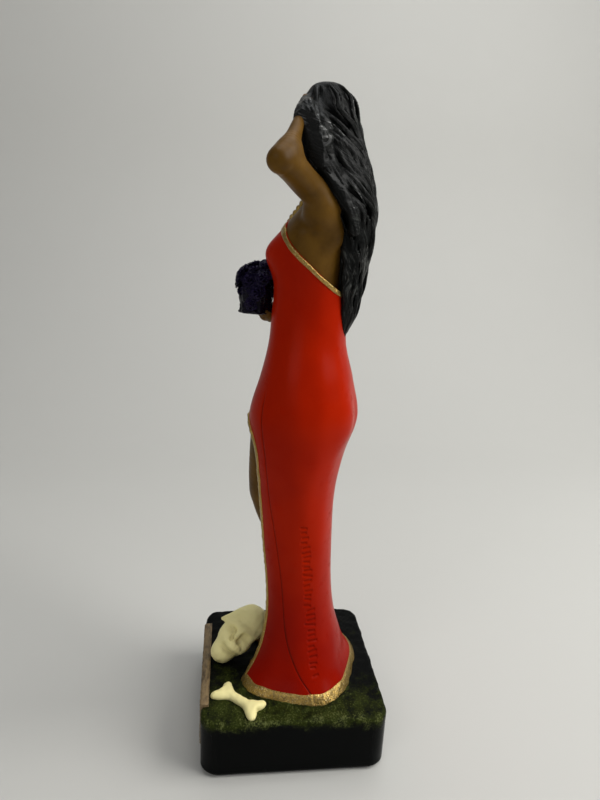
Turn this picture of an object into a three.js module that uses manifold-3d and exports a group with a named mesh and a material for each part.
// Painted resin statue of a woman in a long strapless dress, one casting with its square base.
// Millimetres, +Z up. The origin is the centre of the base's underside.
// The name plate is on the -Y side of the base, and the figure's left side is towards +X.
import * as THREE from "three";
import { mergeVertices } from "three/addons/utils/BufferGeometryUtils.js";
import Module from "manifold-3d";

const wasm = await Module();
wasm.setup();

// Driving sizes.
const BASE = {
  side: 86,
  height: 28.2,
  corner: 8.4,
  chamfer: 2.6,
  lip: 1.1,
  lipDrop: 3,
  inner: [7, 18],
  arc: 5,
  run: 5,
};
const GROUND = BASE.height;
const TURN = -20;
const AXIS = { x: 0, y: 2 };
const HEAD = { x: 0, y: 1.6, chin: 261.5, crown: 294.5, halfWidth: 11.6, halfDepth: 13.6, front: 8, rings: 26 };

// The dress, from the hem up. Each row holds height, half width, half depth in front,
// half depth behind and squareness, round the figure's axis.
const DRESS = {
  segments: 32,
  rings: 23,
  sunk: 4,
  crowd: 0.09,
  rows: [
    [27.0, 31.2, 23.4, 32.8, 2.3],
    [30.5, 29.2, 21.6, 30.6, 2.3],
    [37.0, 25.6, 18.6, 26.6, 2.25],
    [45.0, 22.6, 16.4, 23.4, 2.2],
    [60.0, 19.4, 14.6, 19.2, 2.2],
    [80.0, 17.8, 15.2, 16.7, 2.2],
    [106.0, 19.0, 18.4, 15.8, 2.2],
    [125.0, 21.6, 20.8, 16.2, 2.2],
    [142.0, 25.0, 22.8, 19.0, 2.2],
    [160.0, 27.0, 24.7, 22.6, 2.2],
    [177.0, 24.4, 20.4, 20.4, 2.15],
    [193.0, 20.4, 17.2, 16.2, 2.1],
    [205.0, 18.6, 16.0, 14.6, 2.1],
    [214.0, 18.6, 14.6, 14.4, 2.1],
    [224.0, 19.8, 14.6, 15.4, 2.1],
    [235.0, 21.4, 13.4, 15.8, 2.1],
    [247.0, 22.4, 8.0, 15.0, 2.1],
  ],
};
const NECKLINE = { middle: 229.5, rise: 15 };
const BUST = { height: 5.4, x: 8.8, z: 230.5, wide: 7.2, tall: 8.4 };
const SEAT = { height: 1.5, x: 10, z: 158, wide: 8, tall: 12 };
const TRIM = { proud: 0.5, height: 2.6, edge: 0.15 };

// The slit. Each row holds height, the angles of its left and right edges and its depth from the axis.
const SLIT = [
  [20, -40, -151, 8],
  [28, -41.5, -150, 8],
  [45, -54, -145, 7],
  [60, -62, -141, 6.5],
  [80, -68, -138, 7],
  [106, -72, -139, 9],
  [125, -75, -139, 12],
  [140, -77, -140, 13],
  [148, -79, -137, 14],
  [154, -82, -128, 15],
  [158, -88, -116, 16],
  [160, -98, -104, 17],
];
const SLIT_CUT = { reach: 38, rings: 20 };

// The torso, in the same form as the dress.
const TORSO = {
  segments: 22,
  rings: 10,
  bottom: 205,
  rows: [
    [205, 17.0, 13.4, 13.0, 2.1],
    [214, 17.6, 13.4, 13.2, 2.1],
    [224, 18.8, 13.4, 14.2, 2.1],
    [233, 20.6, 12.8, 14.8, 2.1],
    [239, 22.6, 10.6, 14.4, 2.1],
    [244, 23.4, 8.2, 12.8, 2.1],
    [248, 19.6, 5.6, 10.8, 2.0],
    [251.5, 12.5, 3.6, 9.2, 2.0],
    [254, 7.6, 3.0, 8.0, 2.0],
  ],
};

// Limbs. Each row holds x, y, z and the limb's radius there, in the figure's own directions.
const LEFT_UPPER_ARM = [
  [14.0, 6.0, 238.0, 7.2],
  [21.0, 5.6, 248.6, 7.5],
  [31.0, 2.0, 256.8, 6.6],
  [41.0, -1.0, 261.2, 5.9],
  [48.0, -2.4, 263.4, 4.9],
];
const LEFT_FOREARM = [
  [48.6, -2.4, 263.8, 4.8],
  [42.0, -1.4, 267.2, 5.8],
  [34.0, -1.0, 271.0, 5.3],
  [25.0, -1.2, 274.8, 4.3],
  [16.0, -2.2, 278.0, 3.4],
];
const LEFT_ELBOW = { x: 48.6, y: -2.4, z: 263.2, radius: 5.3 };
const RIGHT_UPPER_ARM = [
  [-15.5, 4.5, 237.0, 7.4],
  [-22.4, 3.4, 240.0, 7.8],
  [-26.6, 3.2, 230.0, 6.8],
  [-29.0, 3.4, 216.0, 6.2],
  [-30.0, 3.0, 204.6, 5.2],
];
const RIGHT_FOREARM = [
  [-30.0, 2.4, 203.6, 5.2],
  [-25.0, -4.4, 203.2, 5.7],
  [-18.0, -11.8, 203.8, 5.0],
  [-11.0, -18.2, 204.6, 4.0],
  [-6.0, -20.8, 205.0, 3.7],
];
const RIGHT_ELBOW = { x: -30.0, y: 3.0, z: 203.2, radius: 5.3 };
const LEFT_HAND = [
  [17.0, -2.0, 277.8, 3.4],
  [13.2, -3.4, 281.2, 4.0],
  [9.8, -5.0, 284.2, 3.6],
  [7.0, -6.2, 286.2, 2.6],
];
const RIGHT_HAND = [
  [-7.0, -20.6, 205.0, 3.8],
  [-2.0, -21.8, 205.4, 4.8],
  [3.4, -20.6, 205.0, 4.0],
];
const FINGER = { count: 4, radius: 1.45, pitch: 2.5, bend: 0.55, gather: 0.3, taper: 0.12, sides: 5 };
const LEFT_FINGERS = { start: [9.4, -5.6, 285.0], reach: [-5.4, -2.2, 2.6], across: [0.5, -0.5, 0.8] };
const RIGHT_FINGERS = { start: [1.6, -25.0, 204.8], reach: [4.8, 4.8, 0.6], across: [0, 0, 0.95] };
const RIGHT_LEG = [
  [-8.6, -1.0, 164, 13.0],
  [-8.4, -5.4, 154, 13.0],
  [-8.2, -9.8, 146, 12.8],
  [-8.2, -17.0, 132, 11.6],
  [-8.4, -20.0, 121, 10.0],
  [-8.6, -15.6, 107, 8.2],
  [-9.2, -9.0, 97, 7.2],
  [-10.0, -4.6, 84, 7.0],
  [-10.8, -2.2, 68, 6.0],
  [-11.8, -2.0, 50, 4.3],
  [-12.6, -2.4, 36, 4.3],
];
const LEFT_LEG = [
  [6.5, -3.0, 110, 8.4],
  [7.0, -1.6, 84, 7.6],
  [7.8, -2.0, 62, 5.6],
  [8.4, -2.2, 48, 4.4],
  [8.6, -2.6, 36, 4.4],
];
const FOOT = { length: 27, width: 9.6, height: 8.6, toe: 2.6, rings: 7, sides: 10 };
const FEET = [
  { x: -12.8, y: 2.0, turn: 8 },
  { x: 8.6, y: 2.6, turn: -4 },
];
const NECK = [
  [0, 6.6, 243, 8.0],
  [0, 5.4, 251, 6.6],
  [0, 4.2, 259, 6.2],
  [0, 3.4, 267, 6.4],
];
const LIMBS = [
  { rows: NECK, sides: 14, rings: 5 },
  { rows: LEFT_UPPER_ARM, sides: 11, rings: 7 },
  { rows: LEFT_FOREARM, sides: 11, rings: 7 },
  { rows: RIGHT_UPPER_ARM, sides: 10, rings: 7 },
  { rows: RIGHT_FOREARM, sides: 10, rings: 6 },
  { rows: LEFT_HAND, sides: 9, rings: 4 },
  { rows: RIGHT_HAND, sides: 9, rings: 4 },
  { rows: RIGHT_LEG, sides: 12, rings: 13 },
  { rows: LEFT_LEG, sides: 10, rings: 5 },
];

// The hair. Each row holds height, half width, depth in front, depth behind, squareness
// and how far behind the axis its middle is. The locks sweep back fast over the head and slowly below it.
const HAIR = {
  locks: 12,
  rings: 20,
  dome: 0.3,
  top: 297.6,
  nape: 262,
  tip: 196,
  sweepHead: 0.036,
  sweepBack: 0.01,
  wave: 0.05,
  relief: [-1.3, 0.2, 0.7, 0.1],
  rows: [
    [196.0, 1.6, 1.6, 1.6, 2.0, 14.6],
    [199.0, 4.2, 2.8, 3.2, 2.0, 14.2],
    [204.0, 8.2, 3.6, 5.0, 2.0, 14.4],
    [211.0, 12.0, 4.4, 5.4, 2.1, 15.4],
    [221.0, 15.6, 5.4, 6.4, 2.2, 16.2],
    [231.0, 17.2, 6.0, 7.7, 2.3, 16.8],
    [241.0, 18.0, 6.8, 9.3, 2.3, 16.2],
    [248.0, 18.4, 7.2, 11.2, 2.3, 14.8],
    [255.0, 18.2, 8.2, 12.4, 2.3, 12.2],
    [262.0, 17.6, 8.6, 14.0, 2.2, 9.2],
    [270.0, 16.8, 8.8, 14.4, 2.2, 6.2],
    [277.0, 16.2, 9.6, 14.0, 2.1, 3.9],
    [282.0, 15.4, 10.6, 14.4, 2.1, 2.4],
    [287.0, 14.2, 11.2, 14.2, 2.0, 1.6],
    [292.0, 11.6, 9.2, 12.0, 2.0, 1.6],
    [295.6, 7.4, 5.6, 8.0, 2.0, 2.0],
    [297.2, 3.6, 3.0, 4.0, 2.0, 2.2],
    [297.6, 0.4, 0.4, 0.4, 2.0, 2.2],
  ],
};

// The necklace lies on the chest and hangs to a point.
const NECKLACE = { links: 13, radius: 1.3, waist: 0.9, drop: 11, halfWidth: 9.5, top: 252, sides: 5 };

// The bunch of roses held against the waist.
const ROSES = {
  x: -1,
  y: -26,
  z: 217.6,
  spread: 5.2,
  flower: 6.5,
  top: 3.6,
  collar: 8.6,
  collarHeight: 5,
  drop: 8.6,
};

// The skull lies on its side with its crown against the dress.
const SKULL = {
  x: -9.5,
  y: -25.6,
  z: 38.4,
  width: 20.5,
  depth: 22,
  height: 29,
  crown: [-0.25, 0.66, 0.7],
  face: [0.8, -0.3, 0.5],
};
const BONE = {
  x: 28.4,
  y: -25.6,
  turn: 50,
  length: 18,
  shaft: 2.3,
  lobe: 3.1,
  spread: 4.2,
  thick: 1.6,
  round: 1.1,
};
const PLATE = { left: -29, right: 31, back: -39.4, front: -43.6, bottom: 7, top: 29.4, strokes: 9, cut: 0.8 };

const COLOUR = 0x9c1d08;

// Edges shorter than this are left out where the forms run together.
const FINEST = 0.03;

const degrees = (a) => THREE.MathUtils.degToRad(a);
const power = (v, p) => Math.sign(v) * Math.abs(v) ** p;
const mix = (a, b, t) => a + (b - a) * t;
const bell = (u, v) => Math.exp(-(u * u + v * v));

// Value of one column of a table of rows at a height, on a smooth curve through the rows.
function columnAt(rows, column, z) {
  const last = rows.length - 1;
  if (z <= rows[0][0]) return rows[0][column];
  if (z >= rows[last][0]) return rows[last][column];
  const i = rows.findIndex((row, k) => k < last && z < rows[k + 1][0]);
  const slope = (k) => {
    const a = rows[Math.max(k - 1, 0)];
    const b = rows[Math.min(k + 1, last)];
    return (b[column] - a[column]) / (b[0] - a[0]);
  };
  const [low, high] = [rows[i], rows[i + 1]];
  const span = high[0] - low[0];
  const t = (z - low[0]) / span;
  const [t2, t3] = [t * t, t * t * t];
  return (
    low[column] * (2 * t3 - 3 * t2 + 1) +
    slope(i) * span * (t3 - 2 * t2 + t) +
    high[column] * (3 * t2 - 2 * t3) +
    slope(i + 1) * span * (t3 - t2)
  );
}

// Point of a superellipse whose front and back halves have their own depths.
function roundPoint(t, z, a, front, back, square, shift = 0) {
  const [c, s] = [Math.cos(t), Math.sin(t)];
  const x = a * power(c, 2 / square);
  const y = (s < 0 ? front : back) * power(s, 2 / square) + shift;
  return new THREE.Vector3(x, y, z);
}

// Closed body through rings of points that all run the same way round, upwards.
function loft(rings) {
  const count = rings[0].length;
  const points = rings.flat();
  const index = [];
  for (let r = 0; r + 1 < rings.length; r++) {
    for (let i = 0; i < count; i++) {
      const [a, b] = [r * count + i, r * count + ((i + 1) % count)];
      index.push(a, b, b + count, a, b + count, a + count);
    }
  }
  const middle = (ring) => ring.reduce((sum, p) => sum.add(p), new THREE.Vector3()).divideScalar(count);
  const [bottom, top] = [points.length, points.length + 1];
  const lastRing = (rings.length - 1) * count;
  points.push(middle(rings[0]), middle(rings[rings.length - 1]));
  for (let i = 0; i < count; i++) {
    const next = (i + 1) % count;
    index.push(bottom, next, i);
    index.push(top, lastRing + i, lastRing + next);
  }
  const geometry = new THREE.BufferGeometry().setFromPoints(points);
  geometry.setIndex(index);
  return geometry;
}

// Round limb through rows of x, y, z and radius.
function limb(rows, segments, steps) {
  const curve = new THREE.CatmullRomCurve3(rows.map((row) => new THREE.Vector3(...row.slice(0, 3))));
  const frames = curve.computeFrenetFrames(steps, false);
  const last = rows.length - 1;
  const rings = [];
  for (let s = 0; s <= steps; s++) {
    const u = curve.getUtoTmapping(s / steps) * last;
    const k = Math.min(Math.floor(u), last - 1);
    const radius = mix(rows[k][3], rows[k + 1][3], u - k);
    const centre = curve.getPointAt(s / steps);
    const ring = [];
    for (let i = 0; i < segments; i++) {
      const t = (i / segments) * 2 * Math.PI;
      const across = frames.normals[s].clone().multiplyScalar(Math.cos(t) * radius);
      const up = frames.binormals[s].clone().multiplyScalar(Math.sin(t) * radius);
      ring.push(centre.clone().add(across).add(up));
    }
    rings.push(ring);
  }
  return loft(rings);
}

function toSolid(geometry) {
  const bare = geometry.clone();
  bare.deleteAttribute("normal");
  bare.deleteAttribute("uv");
  const merged = mergeVertices(bare, 1e-4);
  return new wasm.Manifold(
    new wasm.Mesh({
      numProp: 3,
      vertProperties: merged.attributes.position.array,
      triVerts: new Uint32Array(merged.index.array),
    }),
  );
}

function toGeometry(solid) {
  const mesh = solid.getMesh();
  const geometry = new THREE.BufferGeometry();
  geometry.setAttribute("position", new THREE.BufferAttribute(mesh.vertProperties, 3));
  geometry.setIndex(new THREE.BufferAttribute(mesh.triVerts, 1));
  geometry.computeVertexNormals();
  return geometry;
}

const join = (geometries) => geometries.map(toSolid).reduce((sum, solid) => sum.add(solid));

const elbow = ({ x, y, z, radius }) => new THREE.SphereGeometry(radius, 10, 7).translate(x, y, z);

// Swell of the bust, in front, and of the seat, behind.
function swell(x, y, z) {
  if (y < 0) {
    const h = bell((Math.abs(x) - BUST.x) / BUST.wide, (z - BUST.z) / BUST.tall);
    return -BUST.height * h;
  }
  return SEAT.height * bell((Math.abs(x) - SEAT.x) / SEAT.wide, (z - SEAT.z) / SEAT.tall);
}

function bodyPoint(rows, t, z) {
  const p = roundPoint(t, z, ...[1, 2, 3, 4].map((column) => columnAt(rows, column, z)));
  p.y += swell(p.x, p.y, z) * Math.min(1, 1.6 * Math.abs(Math.sin(t)));
  return p;
}

// Front of the torso at a place across it and a height.
function chest(x, z) {
  const [half, front, , square] = [1, 2, 3, 4].map((column) => columnAt(TORSO.rows, column, z));
  const y = -front * Math.max(0, 1 - Math.abs(x / half) ** square) ** (1 / square);
  return y + swell(x, y, z);
}

const neckline = (t) => NECKLINE.middle - NECKLINE.rise * Math.sin(t);

// Dress with its raised hem and neckline bands and the slit cut out of its front.
// The bands are the first and last two rings, and the rings between crowd towards the bust.
function dress() {
  const foot = GROUND - DRESS.sunk;
  const bandTop = GROUND + TRIM.height;
  const heights = (top) => {
    const bandFoot = top - TRIM.height;
    const between = Array.from({ length: DRESS.rings }, (unused, r) => {
      const v = r / (DRESS.rings - 1);
      const crowded = v + DRESS.crowd * Math.sin(Math.PI * v);
      return [mix(bandTop + TRIM.edge, bandFoot - TRIM.edge, crowded), 0];
    });
    return [[foot, 1], [bandTop, 1], ...between, [bandFoot, 1], [top, 1]];
  };
  const columns = Array.from({ length: DRESS.segments }, (unused, i) => {
    const t = (i / DRESS.segments) * 2 * Math.PI;
    return heights(neckline(t)).map(([z, onBand]) => {
      const p = bodyPoint(DRESS.rows, t, z);
      p.x += onBand * TRIM.proud * Math.cos(t);
      p.y += onBand * TRIM.proud * Math.sin(t);
      return p;
    });
  });
  const rings = columns[0].map((unused, r) => columns.map((column) => column[r]));
  return toSolid(loft(rings)).subtract(toSolid(slit()));
}

function slit() {
  const [foot, head] = [SLIT[0][0], SLIT[SLIT.length - 1][0]];
  const rings = Array.from({ length: SLIT_CUT.rings + 1 }, (unused, r) => {
    const z = mix(foot, head, r / SLIT_CUT.rings);
    const [left, right, depth] = [1, 2, 3].map((column) => columnAt(SLIT, column, z));
    const spoke = (angle, out) => {
      const turn = degrees(angle);
      return new THREE.Vector3(out * Math.cos(turn), out * Math.sin(turn), z);
    };
    return [spoke(left, SLIT_CUT.reach), spoke(left, depth), spoke(right, depth), spoke(right, SLIT_CUT.reach)];
  });
  return loft(rings);
}

function torso() {
  const [low, high] = [TORSO.bottom, TORSO.rows[TORSO.rows.length - 1][0]];
  const rings = [];
  for (let r = 0; r <= TORSO.rings; r++) {
    const z = mix(low, high, r / TORSO.rings);
    const ring = [];
    for (let i = 0; i < TORSO.segments; i++) {
      ring.push(bodyPoint(TORSO.rows, (i / TORSO.segments) * 2 * Math.PI, z));
    }
    rings.push(ring);
  }
  return loft(rings);
}

// How far a calm, regular face stands out at a place across and up the head, both from -1 to 1.
function faceRelief(u, v) {
  const side = Math.abs(u);
  const brow = 0.5 * bell((side - 0.3) / 0.26, (v - 0.17) / 0.07);
  const socket = -1.3 * bell((side - 0.34) / 0.16, (v - 0.04) / 0.1);
  const lid = 0.7 * bell((side - 0.34) / 0.12, (v - 0.02) / 0.06);
  const slope = THREE.MathUtils.clamp((0.14 - v) / 0.5, 0, 1);
  const ridge = v > -0.4 && v < 0.16 ? 2.6 * slope * bell(u / 0.1, 0) : 0;
  const wing = 0.8 * bell((side - 0.1) / 0.08, (v + 0.32) / 0.06);
  const cheek = 0.5 * bell((side - 0.48) / 0.2, (v + 0.28) / 0.18);
  const lips = 0.9 * bell(u / 0.2, (v + 0.54) / 0.055) + 0.9 * bell(u / 0.17, (v + 0.66) / 0.055);
  const chin = 1.2 * bell(u / 0.2, (v + 0.9) / 0.12);
  return brow + socket + lid + ridge + wing + cheek + lips + chin;
}

// Head with its columns and rings close together over the face.
function head() {
  const middle = (HEAD.chin + HEAD.crown) / 2;
  const half = (HEAD.crown - HEAD.chin) / 2;
  const frontTurns = Array.from({ length: 2 * HEAD.front + 1 }, (unused, k) => {
    const v = k / HEAD.front - 1;
    return -90 + 80 * (0.55 * v + 0.45 * v ** 3);
  });
  const turns = [...frontTurns, 30, 70, 110, 150].map(degrees);
  const rings = [];
  for (let r = 0; r <= HEAD.rings; r++) {
    const rise = r / HEAD.rings;
    const latitude = mix(-88, 88, rise - 0.035 * Math.sin(2 * Math.PI * rise));
    const v = Math.sin(degrees(latitude));
    const wide = Math.cos(degrees(latitude));
    const ring = turns.map((t) => {
      const [u, s] = [wide * Math.cos(t), wide * Math.sin(t)];
      const jaw = v < 0 ? 1 - 0.3 * v * v : 1;
      const flat = s < 0 ? 1 - 0.08 * (1 - Math.abs(v)) : 1;
      const low = v < -0.2 && s > 0 ? 1 - 0.3 * (-0.2 - v) : 1;
      const relief = faceRelief(u, v) * THREE.MathUtils.clamp((-s - 0.2) / 0.3, 0, 1);
      const y = HEAD.y + HEAD.halfDepth * s * flat * low - relief;
      return new THREE.Vector3(HEAD.x + HEAD.halfWidth * u * jaw, y, middle + half * v);
    });
    rings.push(ring);
  }
  return loft(rings);
}

// Fingers side by side, each from a knuckle to its tip.
function fingers(hand) {
  const [start, reach, across] = [hand.start, hand.reach, hand.across].map((p) => new THREE.Vector3(...p));
  const middle = (FINGER.count - 1) / 2;
  return Array.from({ length: FINGER.count }, (unused, k) => {
    const from = start.clone().addScaledVector(across, (k - middle) * FINGER.pitch);
    const bend = from.clone().addScaledVector(reach, FINGER.bend);
    const tip = from.clone().add(reach).addScaledVector(across, -FINGER.gather * (k - middle));
    const rows = [from, bend, tip].map((p, j) => [p.x, p.y, p.z, FINGER.radius * (1 - FINGER.taper * j)]);
    return limb(rows, FINGER.sides, rows.length - 1);
  });
}

function foot({ x, y, turn }) {
  const rings = [];
  for (let s = 0; s <= FOOT.rings; s++) {
    const along = s / FOOT.rings;
    const half = (FOOT.width / 2) * (0.62 + 0.5 * Math.sin(Math.PI * along * 0.9) ** 1.4);
    const tall = mix(FOOT.height, FOOT.toe, along ** 0.7);
    const ring = [];
    for (let i = 0; i < FOOT.sides; i++) {
      const t = (i / FOOT.sides) * 2 * Math.PI;
      const across = half * Math.cos(t) * (s === FOOT.rings ? 0.6 : 1);
      const up = Math.sin(t) < 0 ? GROUND - 1 : GROUND + tall * Math.sin(t);
      ring.push(new THREE.Vector3(across, -along * FOOT.length, up));
    }
    rings.push(ring);
  }
  return loft(rings).rotateZ(degrees(turn)).translate(x, y, 0);
}

// Hair with its wavy locks, which run down and back from the forehead. Each column of points
// follows a lock from the crown to the tip, four columns to a lock.
function hair() {
  const perLock = HAIR.relief.length;
  const columns = HAIR.locks * perLock;
  let turns = Array.from({ length: columns }, (unused, i) => (i / columns) * 2 * Math.PI);
  const rings = [];
  let above = HAIR.top;
  for (let r = 0; r <= HAIR.rings; r++) {
    const v = r / HAIR.rings;
    const z = mix(HAIR.top, HAIR.tip, v < HAIR.dome ? (v * v) / HAIR.dome : v);
    const sweep = z > HAIR.nape ? HAIR.sweepHead : HAIR.sweepBack;
    const drop = above - z;
    turns = turns.map((t) => t + drop * sweep * Math.cos(t));
    above = z;
    const row = [1, 2, 3, 4, 5].map((column) => columnAt(HAIR.rows, column, z));
    const depth = Math.min(1, row[0] / 9);
    const ring = turns.map((t, i) => {
      const lock = depth * HAIR.relief[i % perLock];
      const swing = t + HAIR.wave * Math.sin(z * 0.2 + 1.3 * Math.floor(i / perLock));
      return roundPoint(swing, z, row[0] + lock, row[1] + lock, row[2] + lock, row[3], row[4]);
    });
    rings.unshift(ring);
  }
  return loft(rings);
}

// Chain lying round the front of the neck, thick at each link and thin between them.
function necklace() {
  const rows = Array.from({ length: 2 * NECKLACE.links - 1 }, (unused, k) => {
    const t = mix(-1, 1, k / (2 * NECKLACE.links - 2));
    const hang = 1 - Math.abs(t) ** 1.5;
    const x = NECKLACE.halfWidth * Math.sin((t * Math.PI) / 2);
    const z = NECKLACE.top - NECKLACE.drop * hang;
    return [x, chest(x, z), z, k % 2 ? NECKLACE.waist : NECKLACE.radius];
  });
  return limb(rows, NECKLACE.sides, rows.length - 1);
}

// One rose: a ruffled ball with five rows of petal edges.
function rose(x, y, z, radius) {
  const geometry = new THREE.SphereGeometry(1, 12, 6);
  const at = geometry.attributes.position;
  for (let i = 0; i < at.count; i++) {
    const p = new THREE.Vector3(at.getX(i), at.getY(i), at.getZ(i));
    const turn = Math.atan2(p.z, p.x);
    const out = 1 + 0.12 * Math.cos(5 * turn + 3 * p.y) * Math.sqrt(Math.max(0, 1 - p.y * p.y));
    p.multiplyScalar(radius * out);
    at.setXYZ(i, p.x, p.y, p.z);
  }
  return geometry.rotateX(Math.PI / 2).translate(x, y, z);
}

function flowers() {
  const { x, y, z, spread, flower, top, collar, collarHeight, drop } = ROSES;
  const bunch = [rose(x, y + 1, z + top, flower)];
  for (let k = 0; k < 3; k++) {
    const a = degrees(-90 + k * 120);
    bunch.push(rose(x + spread * Math.cos(a), y + spread * 0.6 * Math.sin(a), z - 1.2, flower));
  }
  const profile = [
    [0, -collarHeight],
    [collar * 0.86, -collarHeight],
    [collar * 0.94, -collarHeight * 0.7],
    [collar * 0.8, -collarHeight * 0.45],
    [collar * 0.9, collarHeight * 0.6],
    [0, collarHeight],
  ];
  const points = profile.map(([r, h]) => new THREE.Vector2(r, h));
  const wrap = new THREE.LatheGeometry(points, 12).rotateX(Math.PI / 2);
  bunch.push(wrap.translate(x, y, z - drop));
  return bunch;
}

// Ring of a square with round corners, inset and at a height.
function squareRing(inset, height) {
  const half = BASE.side / 2 - inset;
  const corner = BASE.corner + 0.4 * inset;
  const straight = half - corner;
  const ring = [];
  for (let quarter = 0; quarter < 4; quarter++) {
    for (let k = 0; k <= BASE.arc; k++) {
      const a = degrees((k / BASE.arc) * 90);
      ring.push([straight + corner * Math.cos(a), straight + corner * Math.sin(a), quarter]);
    }
    for (let k = 1; k < BASE.run; k++) {
      ring.push([mix(straight, -straight, k / BASE.run), half, quarter]);
    }
  }
  return ring.map(([x, y, quarter]) => {
    const turned = new THREE.Vector2(x, y).rotateAround(new THREE.Vector2(), degrees(90 * quarter));
    return new THREE.Vector3(turned.x, turned.y, height);
  });
}

// Base block with rounded edges and uneven ground on top.
function base() {
  const rough = ({ x, y }) =>
    0.5 * Math.sin(x * 0.55 + 1) * Math.sin(y * 0.47) + 0.3 * Math.sin(x * 0.9 + y * 1.1);
  const ground = (inset) => squareRing(inset, GROUND).map((p) => p.setZ(GROUND + rough(p)));
  const lipHeight = GROUND - BASE.lipDrop;
  const lip = squareRing(0, lipHeight).map((p) => p.setZ(lipHeight + 1.5 * rough(p)));
  const c = BASE.chamfer;
  return loft([
    squareRing(c, 0),
    squareRing(c * 0.3, c * 0.3),
    squareRing(0, c),
    lip,
    ground(BASE.lip),
    ...BASE.inner.map(ground),
  ]);
}

// Name plate with shallow strokes along its face.
function plate() {
  const { left, right, back, front, bottom, top, strokes } = PLATE;
  const [width, height] = [right - left, top - bottom];
  const board = new THREE.BoxGeometry(width, back - front, height);
  const middle = [(left + right) / 2, (front + back) / 2, (top + bottom) / 2];
  let solid = toSolid(board.translate(...middle));
  for (let k = 0; k < strokes; k++) {
    const x = left + (width * (k + 0.8)) / (strokes + 0.6);
    const stroke = new THREE.BoxGeometry(1 + (k % 3), PLATE.cut, k % 2 ? 6 : 3);
    solid = solid.subtract(toSolid(stroke.translate(x, front, bottom + height / 2)));
  }
  return solid;
}

// Skull: cranium, brow, sockets, nose hole, cheeks and jaw, lying on its side.
function skull() {
  const geometry = new THREE.SphereGeometry(1, 22, 16);
  const at = geometry.attributes.position;
  for (let i = 0; i < at.count; i++) {
    const [u, v, f] = [at.getX(i), at.getY(i), at.getZ(i)];
    const side = Math.abs(u);
    const taper = v < -0.1 ? 1 - 0.42 * (-0.1 - v) : 1;
    let out = f;
    if (f > 0) {
      out += 0.24 * bell((side - 0.42) / 0.3, (v - 0.2) / 0.12);
      out -= 0.42 * bell((side - 0.38) / 0.19, (v + 0.05) / 0.17);
      out -= 0.24 * bell(u / 0.12, (v + 0.38) / 0.13);
      out += 0.14 * bell(u / 0.12, (v + 0.1) / 0.12);
      out += 0.12 * bell((side - 0.55) / 0.15, (v + 0.36) / 0.1);
      out += 0.14 * bell(u / 0.5, (v + 0.7) / 0.16);
    }
    const depth = v < -0.2 && f < 0 ? 1 - 0.75 * (-0.2 - v) : 1;
    at.setXYZ(i, u * taper * (SKULL.width / 2), -out * depth * (SKULL.depth / 2), v * (SKULL.height / 2));
  }
  const crown = new THREE.Vector3(...SKULL.crown).normalize();
  const face = new THREE.Vector3(...SKULL.face).projectOnPlane(crown).normalize();
  const side = new THREE.Vector3().crossVectors(crown, face);
  const stand = new THREE.Matrix4().makeBasis(side, face.clone().negate(), crown);
  return geometry.applyMatrix4(stand).translate(SKULL.x, SKULL.y, SKULL.z);
}

// Long bone with two knuckles at each end, half sunk in the ground.
function bone() {
  const { length, shaft, lobe, spread, thick, round } = BONE;
  const half = length / 2;
  const outline = new THREE.Shape();
  outline.absarc(half, -spread, lobe - round, degrees(-130), degrees(60), false);
  outline.absarc(half, spread, lobe - round, degrees(-60), degrees(130), false);
  outline.quadraticCurveTo(half * 0.5, shaft - round, 0, shaft - round);
  outline.quadraticCurveTo(-half * 0.5, shaft - round, -half + 1.3, spread + 1.5);
  outline.absarc(-half, spread, lobe - round, degrees(50), degrees(240), false);
  outline.absarc(-half, -spread, lobe - round, degrees(120), degrees(310), false);
  outline.quadraticCurveTo(-half * 0.5, round - shaft, 0, round - shaft);
  outline.quadraticCurveTo(half * 0.5, round - shaft, half - 1.3, -spread - 1.5);
  const bevel = { bevelEnabled: true, bevelThickness: round, bevelSize: round, bevelSegments: 2 };
  const slab = new THREE.ExtrudeGeometry(outline, { depth: 2 * thick - round, curveSegments: 4, ...bevel });
  return slab.rotateZ(degrees(BONE.turn)).translate(BONE.x, BONE.y, GROUND - thick);
}

// The figure, turned on the base.
function figure() {
  const skin = join([
    torso(),
    head(),
    ...LIMBS.map(({ rows, sides, rings }) => limb(rows, sides, rings)),
    elbow(LEFT_ELBOW),
    elbow(RIGHT_ELBOW),
    ...FEET.map(foot),
    ...fingers(LEFT_FINGERS),
    ...fingers(RIGHT_FINGERS),
  ]);
  const worn = join([hair(), necklace(), ...flowers()]);
  return skin.add(dress()).add(worn);
}

// The whole casting, with the small pockets closed that are left where its forms run together.
function statue() {
  const placed = toGeometry(figure()).rotateZ(degrees(TURN)).translate(AXIS.x, AXIS.y, 0);
  const whole = toSolid(placed).add(join([base(), skull(), bone()])).add(plate());
  const bodies = whole.simplify(FINEST).decompose();
  return bodies.reduce((most, body) => (body.volume() > most.volume() ? body : most));
}

const group = new THREE.Group();
const material = new THREE.MeshStandardMaterial({ color: COLOUR, roughness: 0.35, metalness: 0 });
const mesh = new THREE.Mesh(toGeometry(statue()), material);
mesh.name = "statue";
group.add(mesh);

export default group;
